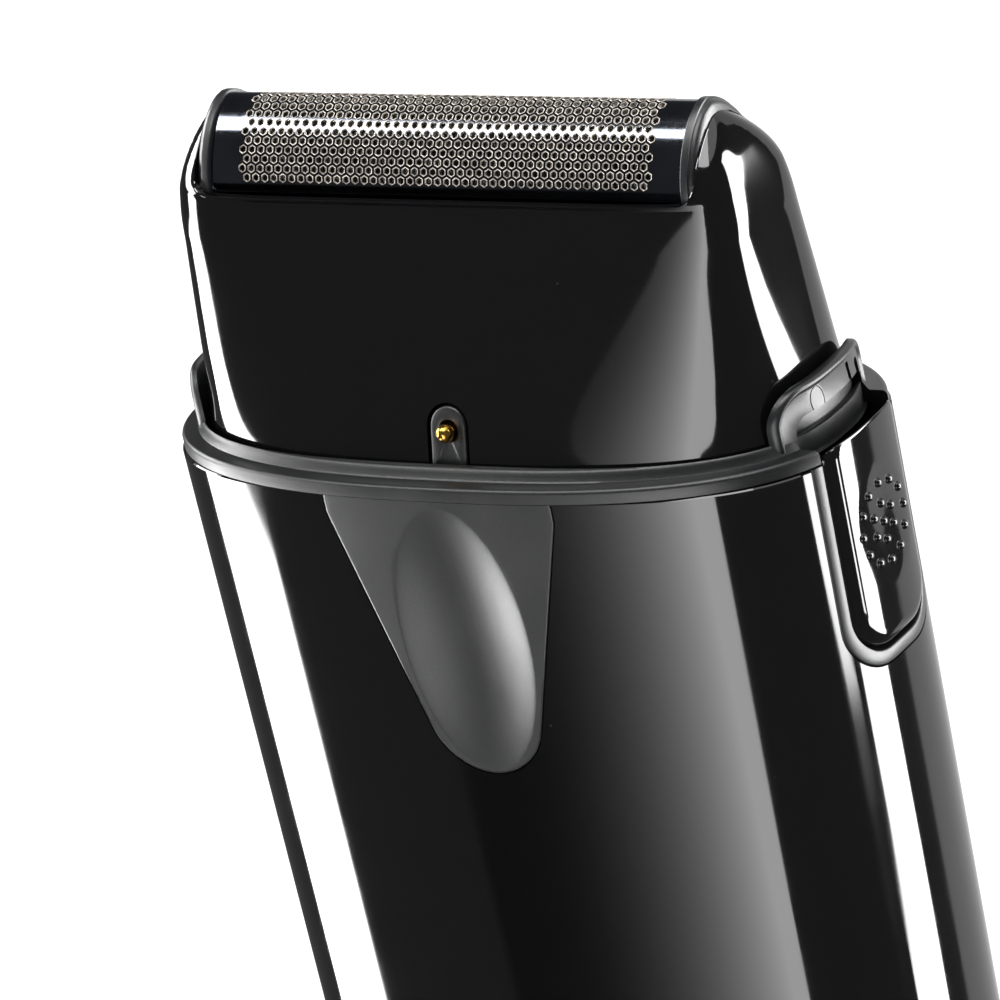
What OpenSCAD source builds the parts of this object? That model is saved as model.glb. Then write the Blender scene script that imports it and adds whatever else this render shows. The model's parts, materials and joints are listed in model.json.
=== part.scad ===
// Foil shaver with a one-piece oval case, a side slide switch, an oscillating
// cutter and a lift-off foil head. Millimetres, +Z up, front face towards -Y,
// origin at the middle of the foot.

/* [Case] */
// Height of the collar's lip above the foot
lip_z = 84; // [84:1:96]
// Width over the collar's lip
lip_w = 62; // [61:0.5:64]
// Depth over the collar's lip
lip_d = 30.6; // [30.6:0.2:33]
// Width of the foot as a share of the width under the lip
taper = 0.945; // [0.93:0.005:1]
// Wall of the sleeve
wall = 2; // [1.8:0.1:2.2]

/* [Head] */
// Width of the head shell where it meets the collar
head_w = 55.8; // [55.4:0.2:56]
// Depth of the head shell where it meets the collar
head_d = 24.4; // [24:0.2:24.6]
// Height of the shell's saddle under the foil
saddle_h = 20.4; // [20.2:0.1:20.6]
// Length of the foil between the cheeks
foil_l = 43.9; // [43:0.1:44]
// Width of the foil's arch at its foot
foil_w = 10.2; // [10:0.1:10.4]
// Rise of the foil's arch
foil_rise = 6.8; // [6.6:0.1:7]

/* [Thumb grip] */
// Width of the grip tongue at the lip
grip_w = 22; // [20:0.5:23]
// Drop of the grip tongue below the lip
grip_h = 25.4; // [24:0.2:27]
// Depth of the oval dish in the grip
dish_depth = 1.1; // [0.6:0.1:1.2]

/* [Side switch] */
// Width of the slider
slider_w = 10.9; // [10:0.1:11]
// Height of the slider
slider_h = 18.3; // [17:0.1:19]
// Travel of the slider from off to on
slider_travel = 2; // [1.5:0.1:2]
// Pitch of the grip dots
dot_pitch = 1.47; // [1.3:0.01:1.5]

/* [Drive] */
// Offset of the eccentric pin, half the cutter's stroke
throw = 0.8; // [0.5:0.05:0.8]
// Number of cutter blades
blade_count = 38; // [30:1:40]
// Side of the motor can across its flats
motor_flat = 15.4; // [15:0.1:15.4]
// Diameter of a cell
cell_d = 14.2; // [14:0.1:14.3]

/* [Hidden] */
$fn = 48;

gloss_black = "#17181b";
satin_black = "#26282c";
frame_grey = "#4a4d52";
steel = "#a9adb2";
foil_steel = "#5a5f68";
brass = "#c9a14a";
nickel = "#b9b7ae";
board_green = "#1f5a3a";
rubber_black = "#1c1c1c";

sides = 72;
lip_t = 1.3;
lip_a = lip_w / 2;
lip_b = lip_d / 2;
body_a = lip_a - 0.1;
body_b = lip_b - 0.6;
body_n = 2.77;
foot_t = 3;
sleeve_top = lip_z - lip_t;
fit_gap = 0.1;

head_a = head_w / 2;
head_b = head_d / 2;
head_n = 3;
skirt = 1.2;
head_gap = 0.3;
shoulder_z = 17;
shoulder_core = 22.5;
shoulder_rise = 9.1;
shoulder_in = 1.7;
shell_top = 26.05;
saddle_z = lip_z + saddle_h;
saddle_b = 6.4;
shell_steps = [0, 5, 10, 14, 17, 19, saddle_h, 21.8, 23.2, 24.4, 25.3];

arch_n = 1.645;
foil_b = foil_w / 2;
foil_t = 0.2;
foil_leg = 3.4;
rail_t = 0.5;
arch_z = saddle_z - 0.4;
cheek_t = 1.3;
cheek_x = foil_l / 2 + 0.05;
saddle_x = cheek_x + cheek_t + 0.1;

grip_foot_r = 5.4;
grip_mid_z = lip_z - grip_h + grip_foot_r;
dish_z = lip_z - 13.6;
dish_a = 6;
dish_b = 11.6;
dish_cut = 1;
frame_edge = 1.1;
frame_drop = 19.8;
slider_gap = 0.15;
slider_low = lip_z - slider_h - 0.2;
slider_back = 1.75;
floor_in = 2;
pad_z = lip_z - 8.6;
ear_half = 7;
ear_top = 4.8;
ear_r = 2.9;
recess_top = lip_z + 2.35;
tab_half = 1.65;
tab_rise = 5;
pin_z = lip_z + 3.1;

deck_top = lip_z - skirt - 0.1;
deck_t = 2;
deck_low = deck_top - deck_t;
slot_half = 2.2 + throw + 0.4;

cell_x = 18;
cell_low = 12;
cell_h = 50;
motor_low = 40;
motor_top = 65;
shelf_low = motor_top + 0.1;
shelf_t = 2;
cam_low = 68;
cam_t = 3.4;
yoke_low = 72.2;
beam_low = 76.2;
post_top = lip_z + 8;
beam_t = 1.6;
spring_low = post_top + beam_t;
spring_x = 9;
carrier_low = lip_z + 14.2;
carrier_top = lip_z + 19.1;
spring_top = carrier_low + 1.2;
blade_gap = 0.16;

// Outline of a flattened oval with half axes a and b and squareness n
function oval(a, b, n) = [for (i = [0:sides - 1]) let(t = 360 * i / sides)
    [a * sign(cos(t)) * pow(abs(cos(t)), 2 / n), b * sign(sin(t)) * pow(abs(sin(t)), 2 / n)]];

// One level of a loft: the oval above, lifted to z
function level(z, a, b, n) = [for (p = oval(a, b, n)) [p.x, p.y, z]];

// Arch outline over the foil, half width b and rise h, standing on z = 0
function arch(b, h, steps = 20) = [for (i = [0:steps]) let(t = 180 * i / steps)
    [-b * sign(cos(t)) * pow(abs(cos(t)), 2 / arch_n), h * pow(sin(t), 2 / arch_n)]];

// Closed solid through a list of levels, lowest first
module loft(levels) {
    last = len(levels) - 1;
    polyhedron(points = [for (ring = levels) each ring],
        faces = concat(
            [[for (i = [0:sides - 1]) i]],
            [for (k = [0:last - 1], i = [0:sides - 1]) let(j = (i + 1) % sides)
                [k * sides + i, (k + 1) * sides + i, (k + 1) * sides + j, k * sides + j]],
            [[for (i = [sides - 1:-1:0]) last * sides + i]]),
        convexity = 4);
}

// Half width and half depth of the sleeve at height z
function case_a(z) = body_a * (taper + (1 - taper) * z / lip_z);
function case_b(z) = body_b * (taper + (1 - taper) * z / lip_z);

// Solid of the case surface between two heights, moved inwards by inset
module case_form(low, high, inset) {
    loft([for (z = [low, high]) level(z, case_a(z) - inset, case_b(z) - inset, body_n)]);
}

// Skin of the case between an outer and an inner inset
module case_skin(low, high, outer_in, inner_in) {
    difference() {
        case_form(low, high, outer_in);
        case_form(low - 0.5, high + 0.5, inner_in);
    }
}

// Half width, half depth and squareness of the head shell, h above the lip
function shell_a(h) = h < shoulder_z ? head_a - shoulder_in * (1 - pow(1 - max(h, 0) / shoulder_z, 1.6))
    : shoulder_core + (head_a - shoulder_in - shoulder_core)
        * sqrt(1 - pow((h - shoulder_z) / shoulder_rise, 2));
function shell_b(h) = h < saddle_h ? head_b - (head_b - saddle_b) * max(h, 0) / saddle_h
    : saddle_b * pow(1 - pow((h - saddle_h) / (foil_rise - 0.6), arch_n), 1 / arch_n);
function shell_n(h) = h < saddle_h ? head_n + 4 * pow(max(h, 0) / saddle_h, 1.5)
    : head_n + 4 - 0.7 * (h - saddle_h);

// Solid of the head surface from the skirt up, moved inwards by inset
module head_form(inset, low = -skirt, high = shell_top) {
    loft([for (h = concat([low], [for (s = shell_steps) if (s < high - 0.3) s], [high]))
        let(thin = inset * (1 - 0.4 * max(h, 0) / saddle_h))
        level(lip_z + h, shell_a(h) - inset, shell_b(h) - thin, shell_n(h))]);
}

// Round-cornered outline, half width w and from z0 to z1, with corner radius r
module pill(w, z0, z1, r) {
    polygon([for (corner = [0:3], t = [4.5:9:85.5])
        [(corner % 3 == 0 ? w - r : r - w) + r * cos(90 * corner + t),
            (corner < 2 ? z1 - r : z0 + r) + r * sin(90 * corner + t)]]);
}

// Stands an outline drawn in width and height upright, extruded along Y
module along_y(y0, y1) {
    translate([0, y1, 0])
        rotate([90, 0, 0])
            linear_extrude(y1 - y0)
                children();
}

// Stands an outline drawn in depth and height upright, extruded along X
module along_x(x0, x1) {
    translate([x0, 0, 0])
        rotate([90, 0, 90])
            linear_extrude(x1 - x0)
                children();
}

// Block given by its low and high corners
module block(low, high) {
    translate(low)
        cube(high - low);
}

// Upright cylinder from z0 to z1 at x, y
module rod(x, y, z0, z1, r) {
    translate([x, y, z0])
        cylinder(h = z1 - z0, r = r);
}

// Cylinder lying along Y
module rod_y(x, z, y0, y1, r) {
    translate([x, y1, z])
        rotate([90, 0, 0])
            cylinder(h = y1 - y0, r = r);
}

// Open coil round the Z axis
module coil(r, wire, height, turns) {
    steps = turns * 12;
    ring = 6;
    pts = [for (i = [0:steps], k = [0:ring - 1])
        let(a = 360 * turns * i / steps, c = 360 * k / ring, d = r + wire * cos(c))
        [d * cos(a), d * sin(a), wire + (height - 2 * wire) * i / steps + wire * sin(c)]];
    polyhedron(points = pts, faces = concat(
        [[for (k = [0:ring - 1]) k]],
        [for (i = [0:steps - 1], k = [0:ring - 1], half = [0, 1])
            let(j = (k + 1) % ring, a = i * ring, b = (i + 1) * ring)
            half == 0 ? [a + k, b + k, b + j] : [a + k, b + j, a + j]],
        [[for (k = [ring - 1:-1:0]) steps * ring + k]]), convexity = 10);
}

// Screw along Z with its head down, from the head's face up
module screw(x, y, z, head_r, shank_r, length) {
    difference() {
        union() {
            rod(x, y, z, z + 1.2, head_r);
            rod(x, y, z + 1.2, z + length, shank_r);
        }
        block([x - head_r * 0.7, y - 0.25, z - 1], [x + head_r * 0.7, y + 0.25, z + 0.6]);
        block([x - 0.25, y - head_r * 0.7, z - 1], [x + 0.25, y + head_r * 0.7, z + 0.6]);
    }
}

// Outline of the grip tongue: straight flanks that close on a round foot
module grip_outline(grow = 0) {
    hull() {
        translate([-grip_w / 2 - grow, lip_z - 3])
            square([grip_w + 2 * grow, 2.4]);
        translate([0, grip_mid_z])
            circle(grip_foot_r + grow, $fn = 32);
    }
}

// Oval cutter that leaves the dish in the grip
module grip_dish() {
    rise = dish_depth + dish_cut;
    rotate([90, 0, 0])
        loft([for (t = [-78:13:0]) level(dish_cut + rise * sin(t), dish_a * cos(t), dish_b * cos(t), 2)]);
}

// Outline of an ear beside the head, in depth and height
module ear_outline(less = 0) {
    pill(ear_half - less, lip_z - 8, lip_z + ear_top - less, ear_r - less);
}

// Solid of the ears' outer surface, moved inwards by inset
module ear_form(inset) {
    loft([level(lip_z - 0.5, lip_a - 1.5 - inset, lip_b - 1.8 - inset, 2.6),
        level(lip_z + 3, lip_a - 1.6 - inset, lip_b - 1.95 - inset, 2.65),
        level(lip_z + ear_top + 1, lip_a - 1.9 - inset, lip_b - 2.3 - inset, 2.75)]);
}

// Outline of the slider with a round foot and a nearly square top
module slider_outline(grow, top) {
    intersection() {
        pill(slider_w / 2 + grow, slider_low - grow, lip_z + 12, 3.8 + grow);
        pill(slider_w / 2 + grow, lip_z - 40, top, 1.3);
    }
}

module body_sleeve() {
    color(gloss_black)
        difference() {
            case_skin(foot_t, sleeve_top, 0, wall);
            along_y(-30, 0)
                grip_outline();
            along_x(0, 40)
                pill(slider_w / 2 + frame_edge, lip_z - frame_drop, lip_z + 10, 4.6);
        }
}

// Ring of the collar: lip, ledge, raised rim and the spigot inside the sleeve
module collar_ring() {
    difference() {
        union() {
            loft([level(sleeve_top, lip_a - 0.15, lip_b - 0.15, 2.5), level(sleeve_top + 0.3, lip_a, lip_b, 2.5),
                level(lip_z - 0.3, lip_a, lip_b, 2.5), level(lip_z, lip_a - 0.3, lip_b - 0.3, 2.5)]);
            loft([level(lip_z - 0.2, lip_a - 1.5, lip_b - 1.5, 2.55), level(lip_z + 0.5, lip_a - 1.8, lip_b - 1.8, 2.6),
                level(lip_z + 0.9, lip_a - 2.4, lip_b - 2.4, 2.7)]);
            case_form(sleeve_top - 4, sleeve_top + 0.1, wall + fit_gap);
        }
        loft([level(lip_z - 8, head_a + head_gap, head_b + head_gap, head_n),
            level(lip_z + 2, head_a + head_gap, head_b + head_gap, head_n)]);
    }
}

// Ear that wraps one end of the head, with its sunk face, its slit and its window
module ear() {
    difference() {
        intersection() {
            ear_form(0);
            along_x(0, 40)
                ear_outline();
        }
        loft([level(lip_z - 8, head_a + head_gap, head_b + head_gap, head_n),
            level(lip_z + 8, head_a + head_gap, head_b + head_gap, head_n)]);
        intersection() {
            difference() {
                block([10, -20, lip_z + 0.9], [40, 20, lip_z + 10]);
                ear_form(0.3);
            }
            along_x(0, 40)
                ear_outline(0.6);
        }
        block([20, 2.1, lip_z + 1.9], [40, 2.6, lip_z + 3.9]);
        block([20, 3.9, lip_z + 1.7], [40, 4.9, lip_z + 3.3]);
    }
}

module collar() {
    color(satin_black)
        difference() {
            union() {
                collar_ring();
                ear();
                mirror([1, 0, 0])
                    ear();
                intersection() {
                    case_skin(lip_z - 30, sleeve_top + 0.1, 0, wall);
                    along_y(-30, 0)
                        grip_outline(-0.02);
                }
                intersection() {
                    case_skin(lip_z - 30, sleeve_top + 0.1, 0, wall + 0.6);
                    along_x(0, 40)
                        pill(slider_w / 2 + frame_edge - 0.02, lip_z - frame_drop + 0.02, lip_z + 10, 4.6);
                }
                intersection() {
                    difference() {
                        head_form(0.1);
                        head_form(1.3, -3);
                    }
                    along_y(-30, 0)
                        pill(tab_half, lip_z - 4, lip_z + tab_rise, tab_half);
                }
                block([-tab_half, -head_b - 0.6, lip_z - 1.2], [tab_half, -head_b + 1.2, lip_z + 0.2]);
            }
            translate([0, -case_b(dish_z), dish_z])
                grip_dish();
            intersection() {
                difference() {
                    block([10, -20, lip_z - 30], [40, 20, lip_z + 10]);
                    case_form(lip_z - 31, lip_z + 11, floor_in);
                }
                along_x(0, 40)
                    slider_outline(slider_gap, recess_top);
            }
            block([20, -1.5, pad_z - 2.3], [40, 1.5, pad_z + 1.7 + slider_travel]);
            block([20, -4, lip_z - 6.5], [27.6, 4, lip_z - 3]);
            rod_y(0, pin_z, -20, -5, 0.8);
        }
}

module base_cap() {
    color(satin_black)
        difference() {
            union() {
                loft([for (k = [[0, 1.1], [0.25, 0.5], [0.9, 0.05], [foot_t, 0]])
                    level(k[0], case_a(k[0]) - k[1], case_b(k[0]) - k[1], body_n)]);
                case_form(foot_t - 0.1, foot_t + 6, wall + fit_gap);
            }
            case_form(2.4, foot_t + 7, wall + 1.5);
            rod(0, 0, -1, 4, 3.75);
            for (s = [-1, 1]) {
                rod(s * cell_x, 0, -1, 1.5, 2.2);
                rod(s * cell_x, 0, 1, 4, 1.1);
            }
            difference() {
                case_form(5.4, 7, wall - 0.2);
                case_form(5, 7.4, wall + 0.7);
            }
        }
}

module base_seal() {
    color(rubber_black)
        case_skin(5.5, 6.9, wall + 0.02, wall + 0.68);
}

module base_screws() {
    color(steel)
        for (s = [-1, 1])
            screw(s * cell_x, 0, 0.3, 2, 0.95, 10.5);
}

module chassis() {
    color(frame_grey)
        difference() {
            union() {
                block([-20.5, 7.7, 9.4], [20.5, 8.8, 79]);
                block([-20.5, -6.5, 9.4], [20.5, 7.8, 11]);
                block([-12.8, -7.4, shelf_low], [12.8, 7.8, shelf_low + shelf_t]);
                for (s = [-1, 1]) {
                    block([s * 10 - 0.5, 4.2, 13], [s * 10 + 0.5, 7.8, 36]);
                    rod(s * cell_x, 0, 9.4, 11.6, 2.6);
                    rod(s * 17.5, 5.6, 63, deck_low - 0.05, 2.4);
                    block([s * 17.5 - 1, 5.6, 63], [s * 17.5 + 1, 7.8, 79]);
                }
                block([21, 3.9, 66], [26, 5.2, 79]);
                block([18.6, 3.9, 66], [21.2, 7.8, 79]);
            }
            rod(0, 0, 9, 12, 4);
            rod(0, 0, shelf_low - 1, shelf_low + 3, 3.1);
            for (s = [-1, 1]) {
                rod(s * cell_x, 0, 9, 12, 0.95);
                rod(s * 8, 0, shelf_low - 1, shelf_low + 3, 0.85);
                rod(s * 17.5, 5.6, 70, deck_low + 1, 0.8);
            }
        }
}

module cell(x) {
    color("#3f6f9a")
        union() {
            rod(x, 0, cell_low, cell_low + cell_h - 1.2, cell_d / 2);
            rod(x, 0, cell_low + cell_h - 1.2, cell_low + cell_h, 2.7);
        }
}

module cell_left() {
    cell(-cell_x);
}

module cell_right() {
    cell(cell_x);
}

module cell_links() {
    color(nickel)
        union() {
            block([-cell_x - 3, -2.5, cell_low - 0.3], [-4.5, 2.5, cell_low]);
            block([4.5, -2.5, cell_low - 0.3], [cell_x + 3, 2.5, cell_low]);
            for (s = [-1, 1])
                block([s * cell_x - 3, -2.5, cell_low + cell_h], [s * cell_x + 3, 2.5, cell_low + cell_h + 0.3]);
        }
}

module circuit_board() {
    color(board_green)
        difference() {
            block([-9.2, 4.4, 13.4], [9.2, 6, 36]);
            for (s = [-1, 1])
                rod_y(s * 7.4, 34, 4, 7, 1);
        }
}

module board_parts() {
    color("#2b2b2e")
        union() {
            block([-4, 3, 22], [2, 4.4, 27]);
            block([4.4, 3.4, 16], [7.4, 4.4, 19]);
            block([-7.8, 3.6, 30], [-4.6, 4.4, 32]);
            block([-8, 3.8, 15.5], [-6.4, 4.4, 18.5]);
            rod_y(5.6, 30, -0.6, 4.4, 2.4);
            rod_y(5.6, 23.5, 2.2, 4.4, 1.5);
        }
}

module charge_socket() {
    color(rubber_black)
        difference() {
            union() {
                rod(0, 0, 0.6, 10.4, 3.6);
                block([-4.4, -3, 4.2], [4.4, 3.6, 9]);
            }
            rod(0, 0, 0, 8.6, 1.8);
        }
}

module slide_switch() {
    color(steel)
        difference() {
            block([21.2, -3.8, pad_z - 5.2], [25, 3.8, pad_z + 5.2]);
            block([24, -1.6, pad_z - 2.2], [26, 1.6, pad_z + 1.2 + slider_travel]);
        }
}

module motor_can() {
    color(steel)
        difference() {
            union() {
                intersection() {
                    rod(0, 0, motor_low, motor_top, 10.1);
                    block([-11, -motor_flat / 2, motor_low], [11, motor_flat / 2, motor_top]);
                }
                rod(0, 0, motor_top, motor_top + 1.6, 3);
            }
            rod(0, 0, 52, 70, 1.05);
            for (s = [-1, 1])
                rod(s * 8, 0, motor_top - 2.5, motor_top + 1, 0.8);
        }
}

module motor_endcap() {
    color("#d8d6cf")
        union() {
            intersection() {
                rod(0, 0, motor_low - 1.8, motor_low, 9.6);
                block([-10, -7.2, motor_low - 2], [10, 7.2, motor_low]);
            }
            rod(0, 0, motor_low - 3, motor_low - 1.8, 2.6);
        }
}

module motor_terminals() {
    color(brass)
        for (s = [-1, 1])
            block([s * 6 - 1, -0.3, motor_low - 4.6], [s * 6 + 1, 0.3, motor_low - 1.8]);
}

module motor_screws() {
    color(steel)
        for (s = [-1, 1])
            translate([0, 0, 2 * (shelf_low + shelf_t) + 1.2])
                mirror([0, 0, 1])
                    screw(s * 8, 0, shelf_low + shelf_t, 1.5, 0.8, 4.4);
}

module motor_shaft() {
    color(steel)
        rod(0, 0, 52.6, cam_low + cam_t - 0.2, 1);
}

module eccentric() {
    color("#cfcac0")
        difference() {
            union() {
                rod(0, 0, cam_low, cam_low + cam_t, 3.2);
                rod(throw, 0, cam_low + cam_t - 0.2, beam_low - 0.5, 1);
            }
            rod(0, 0, cam_low - 1, cam_low + cam_t - 0.2, 1);
        }
}

module deck() {
    color(frame_grey)
        difference() {
            loft([level(deck_low, 27, 11.2, head_n), level(deck_top, 27, 11.2, head_n)]);
            block([-slot_half + 2.5, -2.5, deck_low - 1], [slot_half - 2.5, 2.5, deck_top + 1]);
            for (s = [-1, 1]) {
                rod(s * (slot_half - 2.5), 0, deck_low - 1, deck_top + 1, 2.5);
                rod(s * 17.5, 5.6, deck_low - 1, deck_top + 1, 0.95);
                rod(s * 17.5, 5.6, deck_top - 1.2, deck_top + 1, 1.7);
            }
            rod_y(0, deck_top, -20, -9.4, 1.6);
        }
}

module deck_screws() {
    color(steel)
        for (s = [-1, 1])
            translate([0, 0, 2 * deck_top])
                mirror([0, 0, 1])
                    screw(s * 17.5, 5.6, deck_top, 1.6, 0.75, 8);
}

module drive_seal() {
    color(rubber_black)
        difference() {
            union() {
                loft([level(deck_top, 8, 5.4, 2), level(deck_top + 0.5, 8, 5.4, 2),
                    level(deck_top + 1.6, 5.6, 4, 2)]);
            }
            block([-slot_half + 2.5, -2.5, deck_top - 1], [slot_half - 2.5, 2.5, deck_top + 3]);
            for (s = [-1, 1])
                rod(s * (slot_half - 2.5), 0, deck_top - 1, deck_top + 3, 2.5);
        }
}

// Grip dots in a hexagon of upright columns
module slider_dots() {
    for (column = [-2:2], k = [0:4 - abs(column)]) {
        y = column * dot_pitch * cos(30);
        z = pad_z + (k - (4 - abs(column)) / 2) * dot_pitch;
        x = case_a(z) * pow(1 - pow(abs(y) / case_b(z), body_n), 1 / body_n) + 0.3;
        translate([x - 0.15, y, z])
            rotate([0, 90, 0])
                cylinder(h = 0.4, r = 0.36, $fn = 16);
    }
}

module switch_slider() {
    color(gloss_black)
        union() {
            intersection() {
                case_skin(lip_z - 22, lip_z + 2, -0.4, slider_back);
                along_x(0, 40)
                    slider_outline(0, lip_z);
            }
            slider_dots();
        }
}

module switch_tang() {
    color(frame_grey)
        block([25.2, -1.2, pad_z - 2], [case_a(pad_z) - slider_back - 0.1, 1.2, pad_z + 1]);
}

module drive_bridge() {
    color("#8d9095")
        difference() {
            union() {
                block([-5.4, -3.8, yoke_low], [5.4, 3.8, beam_low + 1]);
                block([-14.6, -2.8, beam_low], [14.6, 2.8, beam_low + 2]);
                for (s = [-1, 1])
                    block([s * 14.1 - 0.5, -2.8, shelf_low + shelf_t + 0.4], [s * 14.1 + 0.5, 2.8, beam_low + 0.5]);
                rod(0, 0, beam_low + 2, post_top, 2.2);
            }
            block([-2 * throw - 1.3, -throw - 1.3, yoke_low - 1], [2 * throw + 1.3, throw + 1.3, beam_low]);
        }
}

module bridge_head() {
    color("#d8d6cf")
        union() {
            block([-12.4, -2.6, post_top], [12.4, 2.6, post_top + beam_t]);
            for (s = [-1, 1])
                rod(s * spring_x, 0, spring_low, spring_low + 1.4, 1.2);
            rod(0, 0, spring_low, carrier_low + 2.6, 1.1);
        }
}

module cutter_springs() {
    color(steel)
        for (s = [-1, 1])
            translate([s * spring_x, 0, spring_low])
                coil(1.7, 0.2, spring_top - spring_low, 5);
}

module cutter_carrier() {
    color("#3c3f44")
        difference() {
            block([-20.3, -3.8, carrier_low], [20.3, 3.8, carrier_top]);
            for (s = [-1, 1])
                rod(s * spring_x, 0, carrier_low - 1, spring_top, 2.1);
            rod(0, 0, carrier_low - 1, carrier_low + 4, 1.16);
        }
}

module cutter_blades() {
    blade_b = foil_b - foil_t - blade_gap;
    blade_h = foil_rise - foil_t - blade_gap;
    foot = carrier_top - arch_z;
    span = 39;
    color(steel)
        for (i = [0:blade_count - 1])
            translate([0, 0, arch_z])
                along_x(-span / 2 + span * i / (blade_count - 1) - 0.2, -span / 2 + span * i / (blade_count - 1) + 0.2)
                    difference() {
                        polygon(concat([[-blade_b, foot]], arch(blade_b, blade_h, 16), [[blade_b, foot]]));
                        polygon(concat([[-3.3, foot - 1]], arch(3.3, blade_h - 1.6, 12), [[3.3, foot - 1]]));
                    }
}

module head_shell() {
    color(gloss_black)
        difference() {
            head_form(0);
            head_form(1.3, -3, 24.6);
            block([-saddle_x, -20, saddle_z], [saddle_x, 20, saddle_z + 20]);
            along_y(-30, 0)
                pill(tab_half + 0.3, lip_z - 6, lip_z + tab_rise + 0.3, tab_half + 0.3);
        }
}

module foil() {
    color(foil_steel)
        translate([0, 0, arch_z])
            along_x(-foil_l / 2, foil_l / 2)
                difference() {
                    polygon(concat([[-foil_b, -foil_leg]], arch(foil_b, foil_rise), [[foil_b, -foil_leg]]));
                    polygon(concat([[-foil_b + foil_t, -foil_leg - 1]], arch(foil_b - foil_t, foil_rise - foil_t),
                        [[foil_b - foil_t, -foil_leg - 1]]));
                }
}

// Rails outside the foil's legs, joined under them at both ends
module foil_frame() {
    inner = foil_b + 0.02;
    color(frame_grey)
        difference() {
            block([-cheek_x, -inner - rail_t, arch_z - 4.6], [cheek_x, inner + rail_t, arch_z - 2.2]);
            block([-foil_l / 2 + 0.55, -inner, arch_z - 6], [foil_l / 2 - 0.55, inner, arch_z]);
            block([-cheek_x - 1, -inner, arch_z - foil_leg - 0.05], [cheek_x + 1, inner, arch_z]);
        }
}

module cheek() {
    color(satin_black)
        translate([0, 0, arch_z])
            along_x(cheek_x + 0.02, cheek_x + cheek_t)
                polygon(concat([[-4.6, -5], [-4.6, 0.45]],
                    [for (p = arch(foil_b + 0.3, foil_rise - 0.2)) [p.x, p.y + 0.45]],
                    [[4.6, 0.45], [4.6, -5]]));
}

module cheek_left() {
    mirror([1, 0, 0])
        cheek();
}

module cheek_right() {
    cheek();
}

module catch_pin() {
    front = -shell_b(3.1) - 0.4;
    color(brass)
        union() {
            translate([0, front, pin_z])
                sphere(0.75, $fn = 96);
            rod_y(0, pin_z, front, -8.2, 0.5);
            rod_y(0, pin_z, -9.5, -9, 1.05);
        }
}

module pin_guide() {
    color(nickel)
        difference() {
            rod_y(0, pin_z, -9.6, -6, 1.5);
            rod_y(0, pin_z, -10, -6.6, 1.15);
        }
}

module catch_spring() {
    color(steel)
        translate([0, -9, pin_z])
            rotate([-90, 0, 0])
                coil(0.8, 0.12, 2.4, 4);
}

body_sleeve();
collar();
base_cap();
base_seal();
base_screws();
chassis();
cell_left();
cell_right();
cell_links();
circuit_board();
board_parts();
charge_socket();
slide_switch();
motor_can();
motor_endcap();
motor_terminals();
motor_screws();
motor_shaft();
eccentric();
deck();
deck_screws();
drive_seal();
switch_slider();
switch_tang();
drive_bridge();
bridge_head();
cutter_springs();
cutter_carrier();
cutter_blades();
head_shell();
foil();
foil_frame();
cheek_left();
cheek_right();
catch_pin();
pin_guide();
catch_spring();
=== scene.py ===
import json
from math import atan2, ceil, copysign, cos, hypot, pi, radians, sin, sqrt
import bpy
import bmesh
from mathutils import Matrix, Vector


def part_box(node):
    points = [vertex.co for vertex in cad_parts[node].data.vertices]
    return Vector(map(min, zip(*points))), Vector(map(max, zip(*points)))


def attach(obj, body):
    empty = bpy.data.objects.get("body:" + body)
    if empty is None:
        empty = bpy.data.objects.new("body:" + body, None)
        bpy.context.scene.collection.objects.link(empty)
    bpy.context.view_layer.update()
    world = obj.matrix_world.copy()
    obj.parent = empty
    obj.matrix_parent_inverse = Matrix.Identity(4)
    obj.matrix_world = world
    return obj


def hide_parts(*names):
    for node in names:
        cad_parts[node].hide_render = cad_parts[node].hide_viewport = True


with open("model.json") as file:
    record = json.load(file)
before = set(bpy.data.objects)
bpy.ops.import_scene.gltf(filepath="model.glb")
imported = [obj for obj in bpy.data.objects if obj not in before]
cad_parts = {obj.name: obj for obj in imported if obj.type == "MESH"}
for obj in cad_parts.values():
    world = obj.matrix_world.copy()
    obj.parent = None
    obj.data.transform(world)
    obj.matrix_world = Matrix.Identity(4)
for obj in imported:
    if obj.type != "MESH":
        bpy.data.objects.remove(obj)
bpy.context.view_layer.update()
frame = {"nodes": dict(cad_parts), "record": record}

# Shapes are drawn in millimetres and made metres as each piece is finished.

# Camera at the viewing angle
cameraView = {"aim": (-4.669, 0, 75.602), "azimuth": 35.81, "elevation": 22.23, "roll": 12.52,
              "distance": 660.35, "lens": 295.99}


def aimCamera(view):
    camera = bpy.data.objects.new("camera", bpy.data.cameras.new("camera"))
    bpy.context.collection.objects.link(camera)
    az, el, roll = (radians(view[k]) for k in ("azimuth", "elevation", "roll"))
    back = Vector((sin(az) * cos(el), -cos(az) * cos(el), sin(el)))
    right = Vector((cos(az), sin(az), 0))
    up = back.cross(right)
    right, up = right * cos(roll) - up * sin(roll), right * sin(roll) + up * cos(roll)
    place = Vector(view["aim"]) / 1000 + back * view["distance"] / 1000
    camera.matrix_world = Matrix((
        (right.x, up.x, back.x, place.x), (right.y, up.y, back.y, place.y),
        (right.z, up.z, back.z, place.z), (0, 0, 0, 1)))
    camera.data.lens = view["lens"]
    camera.data.clip_start = 0.01
    bpy.context.scene.camera = camera


aimCamera(cameraView)
print("camera placed")


# Length run at each point of an outline
def runLengths(points):
    run = [0]
    for p, q in zip(points, points[1:]):
        run.append(run[-1] + hypot(q[0] - p[0], q[1] - p[1]))
    return run


def partWay(p, q, t):
    return p[0] + t * (q[0] - p[0]), p[1] + t * (q[1] - p[1])


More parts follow.
